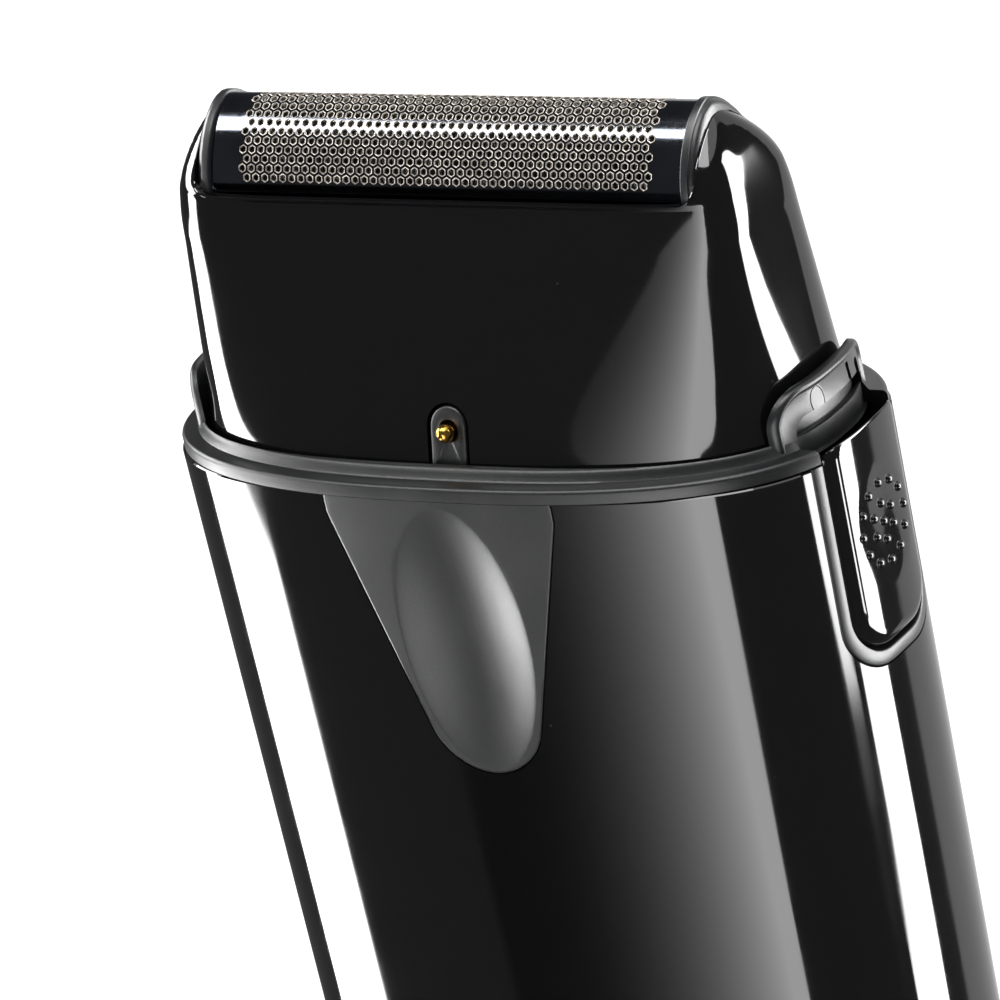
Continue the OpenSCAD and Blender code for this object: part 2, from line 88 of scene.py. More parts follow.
# Points go round an outline at even steps, so rings of different outlines join cleanly.
def evenPath(points, count):
    loop = list(points) + [points[0]]
    run = runLengths(loop)
    made, i = [], 0
    for k in range(count):
        want = run[-1] * k / count
        while run[i + 1] < want:
            i += 1
        t = (want - run[i]) / max(run[i + 1] - run[i], 1e-9)
        made.append(partWay(loop[i], loop[i + 1], t))
    return made


# Flattened oval with half axes a and b and squareness n, from +X round by +Y
def oval(a, b, n, count=240):
    turns = [pi * i / 1200 for i in range(601)]
    fine = [(a * max(cos(t), 0) ** (2 / n), b * sin(t) ** (2 / n)) for t in turns]
    run = runLengths(fine)
    quarter, corner, i = count // 4, [], 0
    for k in range(quarter + 1):
        want = run[-1] * k / quarter
        while i < 599 and run[i + 1] < want:
            i += 1
        t = (want - run[i]) / (run[i + 1] - run[i])
        corner.append(partWay(fine[i], fine[i + 1], t))
    back = corner[:0:-1]
    return (corner[:-1] + [(-x, y) for x, y in back]
            + [(-x, -y) for x, y in corner[:-1]] + [(x, -y) for x, y in back])


def ovalRing(z, a, b, n, count=240):
    return [(x, y, z) for x, y in oval(a, b, n, count)]


def arcPoints(cx, cy, r, start, end, steps=12):
    return [(cx + r * cos(radians(start + (end - start) * i / steps)),
             cy + r * sin(radians(start + (end - start) * i / steps))) for i in range(steps + 1)]


# Round-cornered outline from the middle of its foot, with its own radius at the foot and at the top
def pillPath(half, low, high, footR, topR, count):
    points = [(0, low)]
    points += arcPoints(half - footR, low + footR, footR, -90, 0)
    points += arcPoints(half - topR, high - topR, topR, 0, 90)
    points += arcPoints(topR - half, high - topR, topR, 90, 180)
    points += arcPoints(footR - half, low + footR, footR, 180, 270)
    return evenPath(points, count)


# Outer surfaces, each giving half axes and squareness at a height
lipZ = (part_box("body_sleeve")[1].z * 1000) + 1.3
caseShape = {"a": 30.9, "b": 14.7, "n": 2.77, "taper": 0.945, "wall": 2.0, "foot": 3.0, "top": lipZ - 1.3}
headShape = {"a": 27.9, "b": 12.2, "n": 3.0, "saddle": 20.4, "saddleB": 6.4, "shoulder": 17.0,
             "shoulderIn": 1.7, "core": 22.5, "rise": 9.1, "arch": 1.645, "foilRise": 6.8}


def caseSize(z, inset=0.0):
    share = caseShape["taper"] + (1 - caseShape["taper"]) * z / lipZ
    return caseShape["a"] * share - inset, caseShape["b"] * share - inset, caseShape["n"]


def headSize(z, inset=0.0):
    s, h = headShape, z - lipZ
    up = max(h, 0)
    a = s["a"] - s["shoulderIn"] * (1 - (1 - min(up / s["shoulder"], 1)) ** 1.6)
    if h > s["shoulder"]:
        a = s["core"] + (a - s["core"]) * sqrt(max(1 - ((h - s["shoulder"]) / s["rise"]) ** 2, 0))
    b = s["b"] - (s["b"] - s["saddleB"]) * up / s["saddle"]
    n = s["n"] + 4 * (up / s["saddle"]) ** 1.5
    if h > s["saddle"]:
        share = (h - s["saddle"]) / (s["foilRise"] - 0.6)
        b = s["saddleB"] * max(1 - share ** s["arch"], 0) ** (1 / s["arch"])
        n = s["n"] + 4 - 0.7 * (h - s["saddle"])
    return a - inset, b - inset * (1 - 0.4 * up / s["saddle"]), n


def earSize(z, inset=0.0):
    levels = [(-0.5, 29.5, 13.5, 2.6), (3.0, 29.4, 13.35, 2.65), (5.8, 29.1, 13.0, 2.75)]
    h = min(max(z - lipZ, -0.5), 5.8)
    low, high = (levels[0], levels[1]) if h < 3 else (levels[1], levels[2])
    t = (h - low[0]) / (high[0] - low[0])
    a, b, n = (p + t * (q - p) for p, q in zip(low[1:], high[1:]))
    return a - inset, b - inset, n


def openingSize(z, inset=0.0):
    return 28.2 - inset, 12.5 - inset, 3.0


# Depth of a surface at x on the front, and its reach at y on the side
def frontY(size, x):
    a, b, n = size
    return -b * (1 - min(abs(x / a), 1) ** n) ** (1 / n)


def sideX(size, y):
    a, b, n = size
    return a * (1 - min(abs(y / b), 1) ** n) ** (1 / n)


# Outward direction of a surface given by its size at each height
def surfaceNormal(sizeAt):
    def at(p):
        def fill(z):
            a, b, n = sizeAt(z)
            return abs(p.x / max(a, 0.01)) ** n + abs(p.y / max(b, 0.01)) ** n
        a, b, n = sizeAt(p.z)
        gx = n / a * abs(p.x / a) ** (n - 1) * copysign(1, p.x)
        gy = n / b * abs(p.y / b) ** (n - 1) * copysign(1, p.y)
        gz = (fill(p.z + 0.02) - fill(p.z - 0.02)) / 0.04
        return Vector((gx, gy, gz)).normalized()
    return at


# Mesh tools
# A line of points is spun into a grid, and each point of the grid is set on its ring.
def ringGrid(rings, closed=False):
    bm = bmesh.new()
    row = [bm.verts.new((k + 1, 0, 0)) for k in range(len(rings))]
    edges = [bm.edges.new(pair) for pair in zip(row, row[1:])]
    if closed:
        edges.append(bm.edges.new((row[-1], row[0])))
    count = len(rings[0])
    bmesh.ops.spin(bm, geom=row + edges, cent=(0, 0, 0), axis=(0, 0, 1), dvec=(0, 0, 0),
                   angle=2 * pi, steps=count, use_merge=True, use_duplicate=False)
    for vert in bm.verts:
        k = round(vert.co.xy.length) - 1
        i = round(atan2(vert.co.y, vert.co.x) * count / (2 * pi)) % count
        vert.co = rings[k][i]
    tidyMesh(bm)
    return bm


def tidyMesh(bm):
    bmesh.ops.remove_doubles(bm, verts=bm.verts, dist=0.0005)
    bmesh.ops.dissolve_degenerate(bm, edges=bm.edges, dist=0.0002)
    bmesh.ops.recalc_face_normals(bm, faces=bm.faces)


def turned(profile, steps=48, start=(0, 0, 0)):
    bm = bmesh.new()
    row = [bm.verts.new((r, 0, z)) for r, z in profile]
    edges = [bm.edges.new(pair) for pair in zip(row, row[1:])]
    bmesh.ops.spin(bm, geom=row + edges, cent=(0, 0, 0), axis=(0, 0, 1), dvec=(0, 0, 0),
                   angle=2 * pi, steps=steps, use_merge=True, use_duplicate=False)
    bmesh.ops.translate(bm, verts=bm.verts, vec=start)
    tidyMesh(bm)
    return bm


def prism(outline, place):
    bm = bmesh.new()
    ring = bmesh.ops.create_circle(bm, segments=len(outline), radius=1, cap_ends=True)["verts"]
    for vert, point in zip(ring, outline):
        vert.co = place(point[0], point[1], 0)
    far = bmesh.ops.extrude_face_region(bm, geom=bm.faces[:])["geom"]
    moved = [v for v in far if isinstance(v, bmesh.types.BMVert)]
    step = Vector(place(0, 0, 1)) - Vector(place(0, 0, 0))
    bmesh.ops.translate(bm, verts=moved, vec=step)
    bmesh.ops.recalc_face_normals(bm, faces=bm.faces)
    return bm


def looseObject(bm, name):
    mesh = bpy.data.meshes.new(name)
    bm.to_mesh(mesh)
    bm.free()
    made = bpy.data.objects.new(name, mesh)
    bpy.context.collection.objects.link(made)
    return made


# The first mesh with the others cut out of it
def carve(bm, cutters):
    base = looseObject(bm, "blank")
    tools = [looseObject(cutter, "cutter") for cutter in cutters]
    for tool in tools:
        cut = base.modifiers.new("cut", "BOOLEAN")
        cut.operation, cut.solver, cut.object = "DIFFERENCE", "EXACT", tool
    bpy.context.view_layer.update()
    mesh = bpy.data.meshes.new_from_object(base.evaluated_get(bpy.context.evaluated_depsgraph_get()))
    result = bmesh.new()
    result.from_mesh(mesh)
    for gone in [base] + tools:
        bpy.data.meshes.remove(gone.data)
    bpy.data.meshes.remove(mesh)
    return result


def joined(parts):
    bm = bmesh.new()
    for part in parts:
        mesh = bpy.data.meshes.new("part")
        part.to_mesh(mesh)
        part.free()
        bm.from_mesh(mesh)
        bpy.data.meshes.remove(mesh)
    return bm


# normalAt gives the true direction of a glossy surface, so that reflections run smoothly across cuts.
def finishPiece(bm, name, body, material, nodes=(), normalAt=None, sharp=35):
    mesh = bpy.data.meshes.new(name)
    for face in bm.faces:
        face.smooth = True
    bm.to_mesh(mesh)
    bm.free()
    if normalAt:
        loopNormals = []
        for polygon in mesh.polygons:
            flat = polygon.normal
            for vertex in polygon.vertices:
                true = normalAt(mesh.vertices[vertex].co)
                facing = true.dot(flat)
                loopNormals.append(true if facing > 0.9 else -true if facing < -0.9 else flat.copy())
        mesh.normals_split_custom_set(loopNormals)
    else:
        mesh.set_sharp_from_angle(angle=radians(sharp))
    mesh.transform(Matrix.Scale(0.001, 4))
    mesh.materials.append(material)
    piece = bpy.data.objects.new(name, mesh)
    bpy.context.collection.objects.link(piece)
    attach(piece, body)
    if nodes:
        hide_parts(*nodes)
    return piece


# Materials
def srgb(hexText):
    parts = [int(hexText[i:i + 2], 16) / 255 for i in (1, 3, 5)]
    return tuple(c / 12.92 if c <= 0.04045 else ((c + 0.055) / 1.055) ** 2.4 for c in parts) + (1.0,)


def addNode(tree, kind, inputs=None, **settings):
    node = tree.nodes.new(kind)
    for name, value in settings.items():
        setattr(node, name, value)
    for socket, value in (inputs or {}).items():
        if isinstance(value, bpy.types.NodeSocket):
            tree.links.new(value, node.inputs[socket])
        else:
            node.inputs[socket].default_value = value
    return node


def startMaterial(name, **values):
    material = bpy.data.materials.new(name)
    material.use_nodes = True
    tree = material.node_tree
    shader = tree.nodes["Principled BSDF"]
    for socket, value in values.items():
        shader.inputs[socket.replace("_", " ")].default_value = value
    place = addNode(tree, "ShaderNodeTexCoord").outputs["Object"]
    return material, tree, shader, place


# Per millimetre, as texture scales count in metres
def perMm(size):
    return 1000 / size


# Colour between two hex values, driven by a texture's factor between low and high
def colourRamp(tree, factor, low, lowHex, high, highHex):
    ramp = addNode(tree, "ShaderNodeValToRGB", {"Fac": factor})
    ramp.color_ramp.elements[0].position, ramp.color_ramp.elements[0].color = low, srgb(lowHex)
    ramp.color_ramp.elements[1].position, ramp.color_ramp.elements[1].color = high, srgb(highHex)
    return ramp.outputs["Color"]


def roughnessRange(tree, factor, low, high):
    spread = addNode(tree, "ShaderNodeMapRange", {"Value": factor, "To Min": low, "To Max": high})
    return spread.outputs["Result"]


def bumpFrom(tree, height, depthMm, strength):
    return addNode(tree, "ShaderNodeBump", {"Height": height, "Distance": depthMm / 1000,
                                            "Strength": strength}).outputs["Normal"]


def drive(tree, shader, **sources):
    for socket, source in sources.items():
        tree.links.new(source, shader.inputs[socket.replace("_", " ")])


# ABS from a mirror-polished mould: a deep black gloss with long soft ripples and a few dust specks
def polishedAbs():
    material, tree, shader, place = startMaterial("polishedAbs", IOR=1.53)
    ripple = addNode(tree, "ShaderNodeTexNoise", {"Vector": place, "Scale": perMm(9), "Detail": 1.0})
    haze = addNode(tree, "ShaderNodeTexNoise", {"Vector": place, "Scale": perMm(5), "Detail": 3.0})
    dust = addNode(tree, "ShaderNodeTexVoronoi", {"Vector": place, "Scale": perMm(1.6), "Randomness": 1.0})
    speck = colourRamp(tree, dust.outputs["Distance"], 0.035, "#8a8a86", 0.06, "#000000")
    rare = colourRamp(tree, dust.outputs["Color"], 0.80, "#000000", 0.86, "#ffffff")
    dusty = addNode(tree, "ShaderNodeMix", {"Factor": 1.0, "A": speck, "B": rare}, data_type="RGBA",
                    blend_type="MULTIPLY")
    base = addNode(tree, "ShaderNodeMix",
                   {"Factor": 0.12, "A": srgb("#0a0a0b"), "B": dusty.outputs["Result"]},
                   data_type="RGBA", blend_type="ADD")
    drive(tree, shader, Base_Color=base.outputs["Result"],
          Roughness=roughnessRange(tree, haze.outputs["Fac"], 0.03, 0.075),
          Normal=bumpFrom(tree, ripple.outputs["Fac"], 0.01, 0.25))
    return material


# ABS from a spark-eroded mould: an even, fine, blue-black grain that spreads light softly
def grainedAbs(name="grainedAbs", dark="#060708", light="#111316", low=0.33, high=0.43):
    material, tree, shader, place = startMaterial(name, IOR=1.53)
    grain = addNode(tree, "ShaderNodeTexNoise",
                    {"Vector": place, "Scale": perMm(0.16), "Detail": 2.0, "Roughness": 0.7})
    patch = addNode(tree, "ShaderNodeTexNoise", {"Vector": place, "Scale": perMm(4), "Detail": 2.0})
    drive(tree, shader, Base_Color=colourRamp(tree, grain.outputs["Fac"], 0.35, dark, 0.68, light),
          Roughness=roughnessRange(tree, patch.outputs["Fac"], low, high),
          Normal=bumpFrom(tree, grain.outputs["Fac"], 0.02, 0.55))
    return material


# Nickel foil grown by electroforming, then dark-coated: a smooth blue-black mirror with fine growth grain
def electroformedFoil():
    material, tree, shader, place = startMaterial("electroformedFoil", Metallic=1.0)
    growth = addNode(tree, "ShaderNodeTexNoise", {"Vector": place, "Scale": perMm(0.5), "Detail": 4.0})
    stain = addNode(tree, "ShaderNodeTexNoise", {"Vector": place, "Scale": perMm(6), "Detail": 2.0})
    drive(tree, shader, Base_Color=colourRamp(tree, stain.outputs["Fac"], 0.3, "#53575f", 0.7, "#666970"),
          Roughness=roughnessRange(tree, growth.outputs["Fac"], 0.05, 0.12))
    return material


# Light, soft nickel on the raised crest edges round the holes: a painted highlight, standing in for light
# caught on the crests as bright rings, with finely varying roughness
def crestHighlightNickel():
    material, tree, shader, place = startMaterial("crestHighlightNickel", Metallic=1.0)
    crestPatch = addNode(tree, "ShaderNodeTexNoise", {"Vector": place, "Scale": perMm(0.9), "Detail": 3.0})
    drive(tree, shader, Base_Color=colourRamp(tree, crestPatch.outputs["Fac"], 0.3, "#8f8a84", 0.7, "#cfc8c0"),
          Roughness=roughnessRange(tree, crestPatch.outputs["Fac"], 0.42, 0.58))
    return material


# Metal with fine cutting lines along one axis: streaks of light across the lines
def groundMetal(name, dark, light, lineMm, stretch, low, high):
    material, tree, shader, place = startMaterial(name, Metallic=1.0)
    along = addNode(tree, "ShaderNodeMapping", {"Vector": place, "Scale": stretch})
    lines = addNode(tree, "ShaderNodeTexNoise", {"Vector": along.outputs["Vector"], "Scale": perMm(lineMm),
                                                 "Detail": 3.0})
    cloud = addNode(tree, "ShaderNodeTexNoise", {"Vector": place, "Scale": perMm(3), "Detail": 2.0})
    drive(tree, shader, Base_Color=colourRamp(tree, cloud.outputs["Fac"], 0.3, dark, 0.7, light),
          Roughness=roughnessRange(tree, lines.outputs["Fac"], low, high),
          Normal=bumpFrom(tree, lines.outputs["Fac"], 0.006, 0.4))
    return material


# Moulded technical plastic: a matt skin with a faint mould grain and slight flow clouds
def mouldedPlastic(name, dark, light, grainMm, low, high, depth=0.015):
    material, tree, shader, place = startMaterial(name, IOR=1.5)
    grain = addNode(tree, "ShaderNodeTexNoise", {"Vector": place, "Scale": perMm(grainMm), "Detail": 3.0})
    flow = addNode(tree, "ShaderNodeTexNoise",
                   {"Vector": place, "Scale": perMm(8), "Detail": 2.0, "Distortion": 0.6})
    drive(tree, shader, Base_Color=colourRamp(tree, flow.outputs["Fac"], 0.3, dark, 0.7, light),
          Roughness=roughnessRange(tree, grain.outputs["Fac"], low, high),
          Normal=bumpFrom(tree, grain.outputs["Fac"], depth, 0.4))
    return material


gloss = polishedAbs()
satin = grainedAbs()
cheekSatin = grainedAbs("finelyGrainedAbs", "#141517", "#1e1f22", 0.28, 0.38)
foilMetal = electroformedFoil()
nickel = crestHighlightNickel()
bladeSteel = groundMetal("groundBladeSteel", "#a9a6a0", "#cfccc4", 0.08, (1, 1, 0.1), 0.16, 0.34)
brass = groundMetal("turnedBrass", "#b98a34", "#d8ad58", 0.05, (1, 6, 1), 0.14, 0.26)
looks = {
    "frame_plastic": mouldedPlastic("glassFilledNylon", "#34373b", "#44474c", 0.3, 0.45, 0.65),
    "grey_plastic": mouldedPlastic("greyAcetal", "#7b7e82", "#8d9094", 0.4, 0.35, 0.5),
    "white_plastic": mouldedPlastic("naturalAcetal", "#c9c4b8", "#dad6cb", 0.4, 0.3, 0.45),
    "seal_rubber": mouldedPlastic("mouldedSilicone", "#131313", "#1f1f20", 0.2, 0.55, 0.8),
    "cell_wrap": mouldedPlastic("shrinkSleevePet", "#1f4f86", "#2a64a3", 1.5, 0.18, 0.32, 0.03),
    "board_laminate": mouldedPlastic("solderMaskOnGlassEpoxy", "#0f3d22", "#17522f", 0.6, 0.2, 0.35, 0.02),
    "chip_black": mouldedPlastic("mouldedEpoxy", "#16171a", "#212327", 0.15, 0.5, 0.7),
    "screw_steel": groundMetal("zincPlatedSteel", "#9fa3a8", "#bfc3c6", 0.1, (1, 1, 8), 0.22, 0.38),
    "motor_steel": groundMetal("drawnPlatedSteel", "#8b8f94", "#a8abaf", 0.12, (6, 6, 0.3), 0.24, 0.4),
    "nickel_strip": groundMetal("nickelPlatedStrip", "#a8a59a", "#c4c1b6", 0.1, (0.2, 4, 4), 0.18, 0.3),
    "brass_pin": brass,
    "blade_steel": bladeSteel,
    "satin_black": satin,
    "gloss_case": gloss,
    "foil_steel": foilMetal,
}
print("materials made")

# Sleeve and foot
sleeve = {"grooveGap": 0.1, "tongueHalf": 10.7, "tongueX": -0.4, "tongueTurn": lipZ - 3, "tongueFootR": 5.4,
          "tongueDrop": 25.4, "frameHalf": 6.55, "frameDrop": 19.8, "frameFootR": 4.6, "frameTop": 3.3,
          "frameTopR": 2.2}


# Outline of the thumb tongue, from the middle of its foot
def tonguePath(grow, count=176):
    half, footR = sleeve["tongueHalf"] + grow, sleeve["tongueFootR"] + grow
    footZ = lipZ - sleeve["tongueDrop"] + sleeve["tongueFootR"]
    rise = sleeve["tongueTurn"] - footZ
    reach = hypot(half, rise)
    touch = atan2(rise, half) - (pi / 2 - atan2(footR, sqrt(reach ** 2 - footR ** 2)))
    turn = touch * 180 / pi
    top = caseShape["top"] + 0.05
    right = arcPoints(0, footZ, footR, -90, turn, 24) + [(half, sleeve["tongueTurn"]), (half, top)]
    path = evenPath(right + [(-x, z) for x, z in reversed(right[1:])], count)
    return [(x + sleeve["tongueX"], z) for x, z in path]


def makeSleeve():
    s = caseShape
    zs = [s["foot"] + (s["top"] - s["foot"]) * k / 24 for k in range(25)]
    sizes = [(s["foot"], 0.1), (s["foot"] + 0.1, 0)] + [(z, 0) for z in zs[1:-1]]
    sizes += [(s["top"] - 0.1, 0), (s["top"], 0.1), (s["top"], s["wall"])]
    sizes += [(z, s["wall"]) for z in reversed(zs[1:-1])] + [(s["foot"], s["wall"])]
    body = ringGrid([ovalRing(z, *caseSize(z, inset)) for z, inset in sizes], closed=True)
    tongueCut = prism(tonguePath(sleeve["grooveGap"]), lambda u, v, w: (u, -5 - 20 * w, v))
    half, low = sleeve["frameHalf"] + sleeve["grooveGap"], lipZ - sleeve["frameDrop"] - sleeve["grooveGap"]
    frameCut = prism(pillPath(half, low, lipZ + 4, sleeve["frameFootR"], 1, 120),
                     lambda u, v, w: (20 + 20 * w, u, v))
    return carve(body, [tongueCut, frameCut])


finishPiece(makeSleeve(), "bodySleeve", "case", gloss, ["body_sleeve"], surfaceNormal(caseSize))
print("sleeve made")

footCap = {"rounding": [(0, 1.1), (0.03, 0.9), (0.12, 0.66), (0.3, 0.38), (0.6, 0.14), (0.9, 0.03), (1.2, 0)],
           "floor": 2.4, "inletR": 3.75, "screwX": 18.0, "wellR": 2.2, "shankR": 1.1}


def makeFootCap():
    f = footCap
    rings = [[(0, 0, 0)] * 240, ovalRing(0, *caseSize(0, 8))]
    rings += [ovalRing(z, *caseSize(z, inset)) for z, inset in f["rounding"]]
    rings += [ovalRing(z, *caseSize(z, inset)) for z, inset in
              [(2.9, 0), (2.98, 0.08), (2.98, 2.1), (8.8, 2.1), (9, 2.3), (9, 3.5), (f["floor"], 3.5)]]
    rings.append([(0, 0, f["floor"])] * 240)
    inlet = f["inletR"]
    cuts = [turned([(0, -1), (inlet + 0.2, -1), (inlet + 0.2, 0), (inlet, 0.2), (inlet, 4), (0, 4)])]
    for side in (-1, 1):
        cuts.append(turned([(0, -1), (f["wellR"] + 0.15, -1), (f["wellR"] + 0.15, 0), (f["wellR"], 0.15),
                            (f["wellR"], 1.5), (f["shankR"], 1.5), (f["shankR"], 4), (0, 4)],
                           start=(side * f["screwX"], 0, 0)))
    return carve(ringGrid(rings), cuts)


finishPiece(makeFootCap(), "footCap", "case", satin, ["base_cap"])
print("foot cap made")

# Collar with its ears, thumb grip, slider surround and pin tab
collar = {
    "lip": [(-1.3, 30.7, 15.0, 2.5), (-1.25, 30.9, 15.2, 2.5), (-1.15, 31, 15.3, 2.5),
            (-0.34, 31, 15.3, 2.5), (-0.22, 30.96, 15.26, 2.5), (-0.1, 30.87, 15.17, 2.5),
            (-0.03, 30.76, 15.06, 2.5), (0, 30.6, 14.9, 2.5)],
    "rim": [(0, 29.66, 13.96, 2.55), (0.04, 29.55, 13.85, 2.55), (0.16, 29.44, 13.74, 2.56),
            (0.5, 29.2, 13.5, 2.6), (0.7, 29.08, 13.38, 2.62), (0.82, 28.94, 13.24, 2.65),
            (0.89, 28.78, 13.08, 2.7), (0.9, 28.5, 12.8, 2.85), (0.86, 28.32, 12.62, 2.95),
            (0.75, 28.22, 12.52, 3.0), (0.6, 28.2, 12.5, 3.0), (-1.3, 28.2, 12.5, 3.0)],
    "tongueEdge": ((0.0, 0.06), (-0.03, 0.01), (-0.09, -0.02), (-0.18, -0.03)), "tongueProud": 0.03,
    "dishZ": lipZ - 13.6, "dishHalf": (6.0, 11.6), "dishDepth": 1.1,
    "channelHalf": 5.6, "channelLow": lipZ - 18.65, "channelIn": 2.0, "channelFootR": 3.9,
    "channelTop": lipZ + 2.35, "channelTopR": 1.3,
}


# A ring of points on the case's side or front, given by its outline and its depth under the surface
def sideRing(path, sizeAt, inset, raised=0.0):
    return [(sideX(sizeAt(v, inset), u) + raised, u, v) for u, v in path]


def frontRing(path, sizeAt, depth):
    return [(u, frontY(sizeAt(v), u) + depth, v) for u, v in path]


def channelPath(grow, count):
    c = collar
    return pillPath(c["channelHalf"] + grow, c["channelLow"] - grow, c["channelTop"] + grow,
                    c["channelFootR"] + grow, c["channelTopR"], count)


# Path points moved towards a middle line of the outline
def towardsLine(path, share, low, high):
    return [(u * (1 - share), v + (min(max(v, low), high) - v) * share) for u, v in path]


# The slider's channel as a solid, from its floor outwards
def channelCutter():
    path = channelPath(0, 96)
    low, high = collar["channelLow"] + 4, lipZ - 2
    floor = collar["channelIn"]
    rings = [sideRing(towardsLine(path, share, low, high), caseSize, floor) for share in (1, 0.6, 0.3, 0)]
    middle = towardsLine(path, 1, low, high)
    return ringGrid(rings + [sideRing(path, caseSize, -4), sideRing(middle, caseSize, -4)])


def makeLip():
    rings = [ovalRing(lipZ + h, a, b, n) for h, a, b, n in collar["lip"] + collar["rim"]]
    return carve(ringGrid(rings, closed=True), [channelCutter()])


def makeSpigot():
    corners = ((lipZ - 5.3, 2.1), (lipZ - 1.4, 2.1), (lipZ - 1.4, 3.2), (lipZ - 5.3, 3.2))
    return ringGrid([ovalRing(z, *caseSize(z, inset), 160) for z, inset in corners], closed=True)


def makeTongue():
    c, path = collar, tonguePath(0)
    a, b = c["dishHalf"]
    middleX = sleeve["tongueX"]
    angles = [atan2((v - c["dishZ"]) / b, (u - middleX) / a) for u, v in path]
    rim = [(middleX + a * cos(t), c["dishZ"] + b * sin(t)) for t in angles]
    middle = [(middleX, c["dishZ"])] * len(path)

    def between(t):
        return [partWay(p, q, t) for p, q in zip(path, rim)]

    def dish(share):
        return [(middleX + (u - middleX) * share, c["dishZ"] + (v - c["dishZ"]) * share) for u, v in rim]

    rings = [frontRing(middle, caseSize, 2.0), frontRing(path, caseSize, 2.0),
             frontRing(path, caseSize, 0.12)]
    rings += [frontRing(tonguePath(grow), caseSize, depth) for grow, depth in c["tongueEdge"]]
    proud = c["tongueProud"]
    rings += [frontRing(between(t), caseSize, -proud) for t in (0.12, 0.25, 0.4, 0.55, 0.7, 0.82, 0.92)]
    for share in (1, 0.985, 0.965, 0.94, 0.91, 0.87, 0.82, 0.76, 0.69, 0.61, 0.52, 0.42, 0.31, 0.2, 0.1, 0.0):
        depth = c["dishDepth"] * (1 - share ** 2) ** 1.25
        rings.append(frontRing(dish(share), caseSize, depth - proud))
    return ringGrid(rings)


# The U-shaped edge round the slider and the channel's floor, cut off level under the lip
def makeSliderFrame():
    s, count, low, high, floor = sleeve, 144, collar["channelLow"] + 5, lipZ - 2, collar["channelIn"]

    def outline(inset):
        return pillPath(s["frameHalf"] - inset, lipZ - s["frameDrop"] + inset, lipZ + s["frameTop"] - inset,
                        s["frameFootR"] - inset, s["frameTopR"], count)

    outer, inner = outline(0), channelPath(0, count)
    rings = [sideRing(towardsLine(outer, 1, low, high), caseSize, 2.6), sideRing(outer, caseSize, 2.6),
             sideRing(outer, caseSize, 0.1), sideRing(outline(0.03), caseSize, 0.02),
             sideRing(outline(0.09), caseSize, -0.02)]
    rings += [sideRing(channelPath(0.12, count), caseSize, -0.02),
              sideRing(channelPath(0.03, count), caseSize, 0.03),
              sideRing(inner, caseSize, 0.14), sideRing(inner, caseSize, floor)]
    rings += [sideRing(towardsLine(inner, t, low, high), caseSize, floor) for t in (0.35, 0.7, 1.0)]
    bm = ringGrid(rings)
    cut = bmesh.ops.bisect_plane(bm, geom=bm.verts[:] + bm.edges[:] + bm.faces[:], dist=0.0001,
                                 plane_co=(0, 0, lipZ - 1.28), plane_no=(0, 0, 1), clear_outer=True)
    edges = [e for e in cut["geom_cut"] if isinstance(e, bmesh.types.BMEdge)]
    bmesh.ops.triangle_fill(bm, edges=edges, use_beauty=True)
    bmesh.ops.recalc_face_normals(bm, faces=bm.faces)
    return bm


ear = {"half": 7.0, "top": 4.8, "topR": 2.9, "rimWidth": 0.62, "sunk": 0.3, "round": 0.3, "recessHalf": 5.3,
       "slit": (2.1, 2.6, lipZ + 1.9, lipZ + 3.9), "window": (3.9, 4.9, lipZ + 1.7, lipZ + 3.3),
       "markY": -2.65, "markZ": lipZ + 2.9, "mark": (0.78, 1.15)}


# Thin oval line sunk into the ear's face
def markCutter():
    e, (a, b) = ear, ear["mark"]
    turn = [2 * pi * i / 40 for i in range(40)]

    def loop(grow, inset):
        path = [(e["markY"] + (a + grow) * cos(t), e["markZ"] + (b + grow) * sin(t)) for t in turn]
        return sideRing(path, earSize, inset)

    floor = e["sunk"] + 0.12
    return ringGrid([loop(0.05, floor), loop(0.05, -1), loop(-0.05, -1), loop(-0.05, floor)], closed=True)


# An ear is a rounded rim round a sunk face, with a recess under the face and slots through it
def makeEar(floorDepth, cutters):
    e, count = ear, 128

    def outline(inset):
        return pillPath(e["half"] - inset, lipZ - 1.1, lipZ + e["top"] - inset, 0.3, e["topR"] - inset, count)

    r, low, high = e["round"], lipZ - 1.0, lipZ + 1
    rings = [sideRing(towardsLine(outline(0), 1, low, high), openingSize, 0),
             sideRing(outline(0.08), openingSize, 0), sideRing(outline(0), openingSize, 0, 0.08)]
    rings += [sideRing(outline(r * (1 - cos(radians(t)))), earSize, r * (1 - sin(radians(t))))
              for t in range(0, 91, 15)]
    width, sunk = e["rimWidth"], e["sunk"]
    rings += [sideRing(outline(width - 0.2), earSize, 0.04), sideRing(outline(width), earSize, sunk - 0.06),
              sideRing(outline(width + 0.1), earSize, sunk)]
    recess = pillPath(e["recessHalf"], lipZ - 1.05, collar["channelTop"], 0.3, collar["channelTopR"], count)
    rings += [sideRing(recess, earSize, sunk + depth) for depth in (0, 0.05, floorDepth)]
    rings += [sideRing(towardsLine(recess, t, low, high), earSize, sunk + floorDepth)
              for t in (0.3, 0.6, 0.8, 1.0)]
    for y0, y1, z0, z1 in (e["slit"], e["window"]):
        half = (y1 - y0) / 2
        hole = pillPath(half, z0, z1, half * 0.6, half * 0.6, 40)
        cutters.append(prism(hole, lambda u, v, w, middle=(y0 + y1) / 2: (20 + 20 * w, middle + u, v)))
    return carve(ringGrid(rings), cutters)


tab = {"half": 1.65, "top": 5.0, "gap": 0.3, "boreR": 0.85, "boreZ": 3.1, "thick": 1.2}


